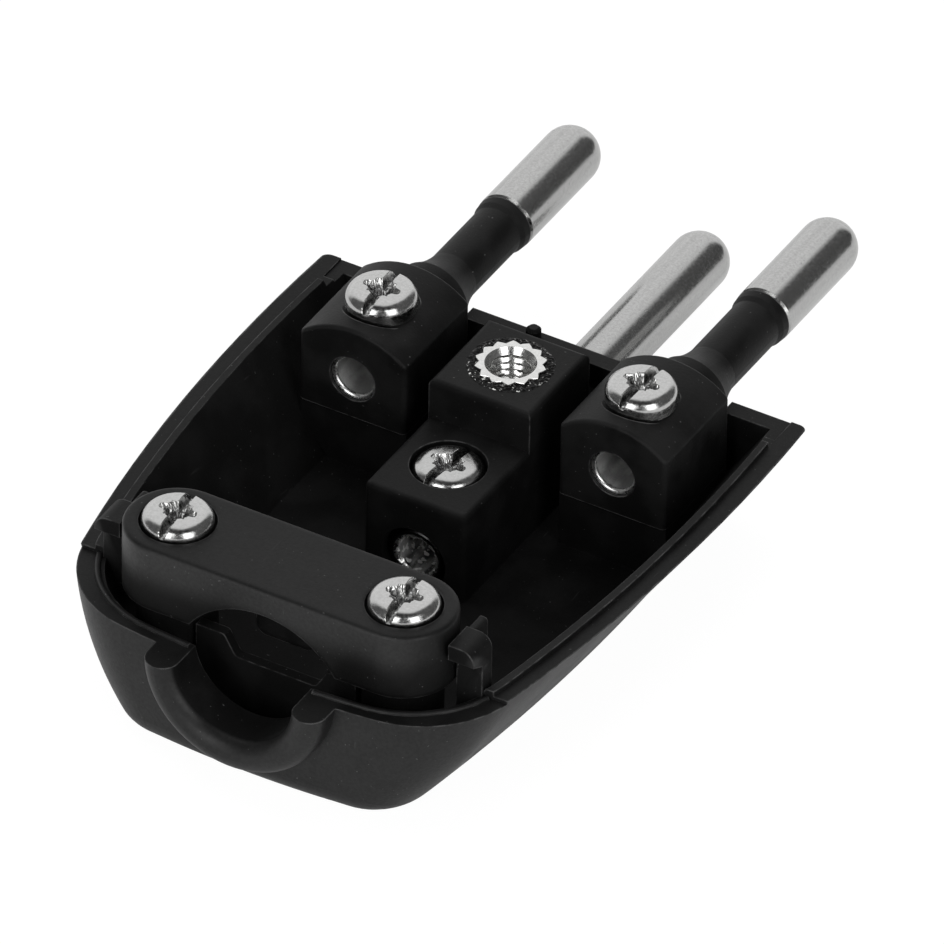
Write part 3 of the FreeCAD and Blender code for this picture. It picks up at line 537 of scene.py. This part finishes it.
# A value as a share of a length, held between 0 and 1
def ramp(value, length):
    return np.clip(value / length, 0, 1)


# Triangle wave: 1 at whole numbers, 0 half way between them
def triangle(phase):
    return np.abs(2 * (phase - np.floor(phase)) - 1)


def polar(radius, angle, height, spot):
    radius, angle, height = np.broadcast_arrays(radius, angle, height)
    return np.stack([spot[0] + radius * np.cos(angle), spot[1] + radius * np.sin(angle), height], axis=-1)


# Seeded ripple: a sum of plane waves over x and y with lengths between two limits, scaled to stay within 1
def ripple(x, y, seed, shortest, longest, count=36):
    rng = np.random.default_rng(seed)
    spin = rng.uniform(0, 2 * np.pi, (2, count))
    rate = 2 * np.pi / rng.uniform(shortest, longest, count)
    total = np.zeros(np.broadcast(x, y).shape)
    for turn, shift, speed in zip(spin[0], spin[1], rate):
        total += np.sin(speed * (x * np.cos(turn) + y * np.sin(turn)) + shift)
    return total / np.abs(total).max()


# Screw plating: torn where the slot and the recess are cut, and darker there as painted shade, with spots
# left out of it as painted glints
cutShadeForm = {"finish": {"base": (0.5, 0.5, 0.495), "roughness": 0.21, "bump": 0.3, "metallic": 1.0},
           "depth": (0.1, 0.5), "colour": (0.13, 0.13, 0.13),
           "paintedGlint": {"scale": 3200, "detail": 2.0, "start": 0.46, "end": 0.62, "low": 0.8, "high": 0.0}}


def screwFinish(group):
    form = cutShadeForm
    material, tree, shader, place = finish("screw_plating", group, **form["finish"])
    cut = addNode(tree, "ShaderNodeAttribute", {"attribute_name": "cut"}).outputs["Fac"]
    # Painted shade in the slot and the recess, left out at the painted glints
    dark = calc(tree, "MULTIPLY", spread(tree, cut, *form["depth"]), pattern(tree, place, **form["paintedGlint"]))
    overlay(tree, shader, dark, form["colour"])
    return material


# Pan-head screws: lathe profile with a helix on the shank; slot and cross recess lower the head's top
screwForm = {"headHeight": 1.6, "rise": 0.08, "roundIn": 0.8, "roundDown": 0.75, "sideHeight": 0.5,
             "seatBevel": 0.08, "shankRadius": 1.25, "pitch": 0.5, "threadDepth": 0.2, "threadStart": 0.2,
             "threadFade": 0.4, "shankGap": 0.02, "point": 0.3, "centreRadius": 0.02, "tipRadius": 0.05,
             "columns": 240, "faceRows": 52, "roundRows": 22, "rowsPerPitch": 10, "leastRows": 12,
             "sharpAngle": 38, "lift": {"earth_screw": 0.45}, "firstSeed": 20, "seedStep": 2,
             "turn": {"line_screw": 3.5, "neutral_screw": -3.0, "earth_screw": -8.0,
                      "clamp_screw_left": 5.0, "clamp_screw_right": 5.0}}

# What is pressed into the heads
recessForm = {"slotHalf": 0.36, "slotFloorHalf": 0.15, "slotDepth": 0.8,
              "armReach": 1.3, "armHalf": 0.5, "armTaper": 0.5, "armWall": 0.26, "armRise": 0.7,
              "armEnd": 0.12, "depth": 1.1, "coneRadius": 0.92, "coneWall": 0.55,
              "tickReach": 1.02, "tickEnd": 0.2, "tickHalf": 0.1, "tickDepth": 0.34,
              "tear": 0.1, "tearWaves": (0.12, 0.5), "tearEdge": 0.1, "slotTear": 0.45,
              "burr": 0.09, "burrWaves": (0.2, 0.6), "burrRadius": 0.95, "burrWidth": 0.35, "burrGap": 0.1,
              "uncut": 0.01}


# Depth of slot, cross arms, centre cone and the fine diagonal ticks, the deepest of them at each place
def headCut(x, y, seed):
    form = recessForm
    reach = np.hypot(x, y)
    slot = form["slotDepth"] * ramp(form["slotHalf"] - abs(x), form["slotHalf"] - form["slotFloorHalf"])
    share = abs(x) / form["armReach"]
    arm = ramp(form["armHalf"] * (1 - form["armTaper"] * share) - abs(y), form["armWall"])
    arm = arm * form["depth"] * (1 - form["armRise"] * share) * ramp(1 - share, form["armEnd"])
    cone = form["depth"] * ramp(form["coneRadius"] - reach, form["coneWall"])
    offLine = abs(abs(x) - abs(y)) / np.sqrt(2)
    tick = form["tickDepth"] * ramp(form["tickHalf"] - offLine, form["tickHalf"])
    tick = tick * ramp(form["tickReach"] - reach, form["tickEnd"])
    recess = np.maximum.reduce([arm, cone, tick])
    cut = np.maximum(slot, recess)
    torn = form["tear"] * ripple(x, y, seed, *form["tearWaves"]) * ramp(cut, form["tearEdge"])
    torn = torn * np.where(recess > slot, 1.0, form["slotTear"])
    lip = np.clip(1 - abs(reach - form["burrRadius"]) / form["burrWidth"], 0, 1)
    lip = lip * ramp(abs(x) - form["slotHalf"], form["burrGap"])
    burr = form["burr"] * lip * np.clip(ripple(x, y, seed + 1, *form["burrWaves"]), 0, 1)
    return cut + torn - burr * (cut < form["uncut"])


def addScrew(nodeName, material, seed):
    form = screwForm
    low, high = boxMm(nodeName)
    lift = form["lift"].get(nodeName, 0.0)
    spot, top, head = (low + high)[:2] / 2, high[2] + lift, (high - low)[0] / 2
    angle = fullTurn(form["columns"])
    flat = np.linspace(form["centreRadius"], head - form["roundIn"], form["faceRows"])
    bend = np.linspace(0, np.pi / 2, form["roundRows"])[1:]
    faceR = np.concatenate([flat, head - form["roundIn"] * (1 - np.sin(bend))])[:, None]
    faceDrop = np.concatenate([0 * flat, form["roundDown"] * (1 - np.cos(bend))])[:, None]
    plainZ = top - faceDrop - form["rise"] * (faceR / head) ** 2
    spin = angle - math.radians(form["turn"][nodeName])
    faceZ = np.minimum(plainZ, top - headCut(faceR * np.cos(spin), faceR * np.sin(spin), seed))
    seat = high[2] - form["headHeight"]
    bevel = form["seatBevel"]
    sideR = np.array([head, head, head - bevel, form["shankRadius"]])[:, None]
    sideZ = np.array([seat + lift + form["sideHeight"], seat + bevel, seat, seat])[:, None]
    steps = max(int((seat - low[2]) / form["pitch"] * form["rowsPerPitch"]), form["leastRows"])
    along = np.linspace(seat - form["shankGap"], low[2] + form["point"], steps)[:, None]
    depth = form["threadDepth"] * ramp(seat - form["threadStart"] - along, form["threadFade"])
    shankR = form["shankRadius"] - depth * triangle((along - low[2]) / form["pitch"] + angle / (2 * np.pi))
    tipR = np.array([form["shankRadius"] - form["point"], form["tipRadius"]])[:, None]
    radius = np.concatenate([faceR + 0 * angle, sideR + 0 * angle, shankR, tipR + 0 * angle])
    height = np.concatenate([faceZ, sideZ + 0 * angle, along + 0 * angle, low[2] + 0 * tipR + 0 * angle])
    screw = skin(nodeName.replace("screw", "screw_turned"), polar(radius, angle, height, spot))
    smoothShade(screw, form["sharpAngle"])
    depths = np.zeros(radius.shape)
    depths[:len(faceZ)] = plainZ - faceZ
    screw.data.attributes.new("cut", "FLOAT", "POINT").data.foreach_set("value", depths.ravel())
    screw.data.materials.append(material)
    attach(screw, "root")
    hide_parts(nodeName)


# Threaded insert: star outside, flat top, countersunk and threaded bore, closed underneath
insertForm = {"finish": {"base": (0.68, 0.68, 0.67), "roughness": 0.2, "bump": 0.3, "metallic": 1.0},
              "teeth": 14, "starTurn": 0.25, "tipRadius": 2.35, "rootRadius": 2.03, "flatRadius": 1.68,
              "boreRadius": 1.34, "sinkDepth": 0.4, "pitch": 0.5, "threadDepth": 0.19, "threadStart": 0.2,
              "threadEnd": 0.3, "bevel": 0.03, "perTooth": 12, "rowsPerPitch": 12, "sharpAngle": 30}


# Triangle wave between root and tip radius, one for each tooth
def insertStar(angle):
    wave = triangle((angle / (2 * np.pi) + insertForm["starTurn"]) * insertForm["teeth"])
    return insertForm["rootRadius"] + (insertForm["tipRadius"] - insertForm["rootRadius"]) * wave


def addInsert(material):
    form = insertForm
    low, high = boxMm("cover_insert")
    spot = (low + high)[:2] / 2
    angle = fullTurn(form["teeth"] * form["perTooth"])
    star = insertStar(angle)
    outerZ = np.array([low[2], high[2] - form["bevel"], high[2]])[:, None]
    outerR = star - form["bevel"] * np.array([0, 0, 1])[:, None]
    sink = high[2] - form["sinkDepth"]
    steps = int((sink - low[2]) / form["pitch"] * form["rowsPerPitch"])
    boreZ = np.linspace(sink, low[2], steps)[:, None]
    fade = ramp(sink - boreZ, form["threadStart"]) * ramp(boreZ - low[2], form["threadEnd"])
    thread = triangle(boreZ / form["pitch"] - angle / (2 * np.pi))
    boreR = form["boreRadius"] + form["threadDepth"] * fade * thread
    radius = np.concatenate([outerR, np.full_like(angle, form["flatRadius"]), boreR])
    height = np.concatenate([outerZ, [[high[2]]], boreZ])
    insert = skin("cover_insert_threaded", polar(radius, angle, height, spot), loopRows=True)
    smoothShade(insert, form["sharpAngle"])
    insert.data.materials.append(material)
    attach(insert, "root")
    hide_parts("cover_insert")


# Melted rim round the insert: a ring section that fills the gaps between the teeth
meltForm = {"finish": {"base": (1, 1, 1), "roughness": 0.3, "bump": 0.3, "sheen": 0.12},
            "fleckAndGlint": {"scale": 4800, "detail": 2.0, "start": 0.61, "end": 0.68}, "frontShare": 0.25,
            "fleckAndGlintColour": (0.85, 0.85, 0.83),
            "insertStand": 0.2, "toothGap": 0.03, "grooveRadius": 2.73, "spill": 0.2, "spillMiddle": 0.6,
            "spillSwing": 0.4, "spillSize": 3, "spillWaves": (0.5, 3.0), "depth": 0.24, "lump": 0.16,
            "lumpWaves": (0.2, 0.7), "lift": 0.04, "crownStart": 0.12, "crownPower": 0.5, "skirt": 0.01,
            "columns": 336, "rows": 20, "seed": 11, "sharpAngle": 60}


# Seeded waves lift the rim's top and push out its edge; past the groove it never dips below the block's top
def addMelt(material):
    form = meltForm
    low, high = boxMm("cover_insert")
    spot, blockTop = (low + high)[:2] / 2, high[2] - form["insertStand"]
    groove = form["grooveRadius"]
    angle = fullTurn(form["columns"])
    across = np.linspace(0, 1, form["rows"])[:, None]
    inner = insertStar(angle) + form["toothGap"]
    swing = ripple(form["spillSize"] * np.cos(angle), form["spillSize"] * np.sin(angle), form["seed"],
                   *form["spillWaves"])
    edge = form["spillMiddle"] + form["spillSwing"] * swing
    topR = inner + (groove + form["spill"] * edge - inner) * across
    waves = ripple(topR * np.cos(angle), topR * np.sin(angle), form["seed"] + 1, *form["lumpWaves"])
    crown = np.sin(np.pi * np.clip(across, form["crownStart"], 1)) ** form["crownPower"]
    topZ = blockTop + (form["lift"] + form["lump"] * waves) * crown
    topZ = np.where(topR > groove, np.maximum(topZ, blockTop), topZ)
    footR = np.stack([0 * inner[0] + groove, 0 * inner[0] + groove, inner[0]])
    footZ = blockTop - np.array([form["skirt"], form["depth"], form["depth"]])[:, None] + 0 * angle
    radius, height = np.concatenate([topR, footR]), np.concatenate([topZ, footZ])
    melt = skin("insert_melt", polar(radius, angle, height, spot), loopRows=True)
    smoothShade(melt, form["sharpAngle"])
    melt.data.materials.append(material)
    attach(melt, "root")


# Melted plastic: dark with bright metal flecks that are also painted glints, most of them behind the insert,
# on the side where the glints fall
def meltFinish(group):
    form = meltForm
    material, tree, shader, place = finish("melted_moulding", group, **form["finish"])
    low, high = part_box("cover_insert")
    y = splitAxes(tree, place)[1]
    # Metal flecks, also painted glints, most of them on the rear side
    rear = spread(tree, y, (low[1] + high[1]) / 2, low[1], form["frontShare"], 1.0)
    fleckAndGlint = calc(tree, "MULTIPLY", pattern(tree, place, **form["fleckAndGlint"]), rear)
    tree.links.new(fleckAndGlint, shader.inputs["Metallic"])
    overlay(tree, shader, fleckAndGlint, form["fleckAndGlintColour"])
    return material


# Rolled lips of the wire bores: a quarter round carried round the bore's axis, wavy on the earth pin
boreForm = {"finish": {"base": (0.8, 0.8, 0.79), "roughness": 0.3, "bump": 0.3, "metallic": 1.0},
            "inner": 1.37, "outer": 1.63, "lap": 0.05,
            "tear": {"line_pin": 0.0, "neutral_pin": 0.0, "earth_pin": 0.11}, "tearSize": 4,
            "tearWaves": (0.6, 2.5), "columns": 96, "rows": 10, "firstSeed": 40, "sharpAngle": 60}


def addBoreLip(nodeName, material, tear, seed):
    form = boreForm
    low, high = boxMm(nodeName)
    axis = (low + high)[[0, 2]] / 2
    size = form["outer"] - form["inner"]
    angle = fullTurn(form["columns"])
    turn = np.linspace(0, np.pi / 2, form["rows"])[:, None]
    swing = ripple(form["tearSize"] * np.cos(angle) + turn, form["tearSize"] * np.sin(angle), seed,
                   *form["tearWaves"])
    wave = 1 + tear / size * swing
    radius = np.concatenate([form["outer"] - size * wave * np.sin(turn), form["outer"] + 0 * angle])
    depth = np.concatenate([size * (1 - wave * np.cos(turn)), size + form["lap"] + 0 * angle])
    x, z = axis[0] + radius * np.cos(angle), axis[1] + radius * np.sin(angle)
    grid = np.stack([x, low[1] + np.maximum(depth, 0.0), z], axis=-1)
    lip = skin(nodeName + "_bore_lip", grid, loopRows=True)
    smoothShade(lip, form["sharpAngle"])
    lip.data.materials.append(material)
    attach(lip, "root")


# Lips on the inner edge of the rear rim: a half-round section carried round the corner and along the rear
lipForm = {"cornerSpot": (7.159, -11.479), "cornerRadius": 7.15, "cornerStart": -20.0, "cornerEnd": -83.66,
           "rearCentre": 52.975, "rearRadius": 72.0, "entryHalf": 4.45, "width": 0.42, "rise": 0.2,
           "foot": 0.03, "fullness": 0.7, "rimTop": 8.40, "cornerRows": 60, "rearRows": 24, "archRows": 14,
           "sharpAngle": 50}


def addLips(material):
    form = lipForm
    turn = np.radians(np.linspace(form["cornerStart"], form["cornerEnd"], form["cornerRows"]))
    arc = np.stack([np.cos(turn), np.sin(turn)], axis=-1)
    corner = np.array(form["cornerSpot"]) + form["cornerRadius"] * arc
    x = np.linspace(corner[-1, 0], form["entryHalf"], form["rearRows"])[1:]
    rear = np.stack([x, form["rearCentre"] - np.sqrt(form["rearRadius"] ** 2 - x ** 2)], axis=-1)
    path = np.concatenate([corner, rear])
    ahead = np.gradient(path, axis=0)
    outward = np.stack([-ahead[:, 1], ahead[:, 0]], axis=-1) / np.linalg.norm(ahead, axis=1)[:, None]
    outward = outward * np.sign((outward * path).sum(axis=1))[:, None]
    arch = np.linspace(0, np.pi, form["archRows"])
    across = np.concatenate([form["width"] / 2 * (1 - np.cos(arch)), [form["width"], 0.0]])
    rise = np.concatenate([form["rise"] * np.sin(arch) ** form["fullness"], [-form["foot"], -form["foot"]]])
    plan = path[:, None, :] + outward[:, None, :] * across[None, :, None]
    grid = np.concatenate([plan, form["rimTop"] + rise[None, :, None] + 0 * plan[:, :, :1]], axis=-1)
    for side, sign in (("left", -1), ("right", 1)):
        lip = skin("rim_lip_" + side, grid * np.array([sign, 1, 1]))
        smoothShade(lip, form["sharpAngle"])
        lip.data.materials.append(material)
        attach(lip, "root")


bpy.context.scene.view_settings.view_transform = "Standard"
addCamera()
addFloor()
addWorld()
addLamp("left")
addLamp("right")
addLamp("fill", mirrored=False)
print("studio set")
moulded, drawn, plated = mouldSkin(), drawnMetal(), platedSteel()
shellPlastic = shellFinish(moulded)
carrierPlastic = finish("carrier_moulding", moulded, **carrierForm)[0]
screwMetal = screwFinish(plated)
lipMetal = finish("bore_lip_plating", plated, **boreForm["finish"])[0]
insertMetal = finish("insert_plating", plated, **insertForm["finish"])[0]
dress(["base_shell"], shellPlastic)
dress(["cable_clamp"], clampFinish(moulded))
dress(["line_insulator", "neutral_insulator"], carrierPlastic)
for pinName, boreMetal in pinForm["boreMetal"].items():
    dress([pinName], pinFinish(pinName + "_plating", drawn, pinName, boreMetal, torn=pinName == "earth_pin"))
print("finishes set")
for order, screwName in enumerate(screwForm["turn"]):
    addScrew(screwName, screwMetal, screwForm["firstSeed"] + screwForm["seedStep"] * order)
addInsert(insertMetal)
addMelt(meltFinish(moulded))
addLips(shellPlastic)
for order, (pinName, tear) in enumerate(boreForm["tear"].items()):
    addBoreLip(pinName, lipMetal, tear, boreForm["firstSeed"] + order)
print("screws, insert, melted rim and lips made")
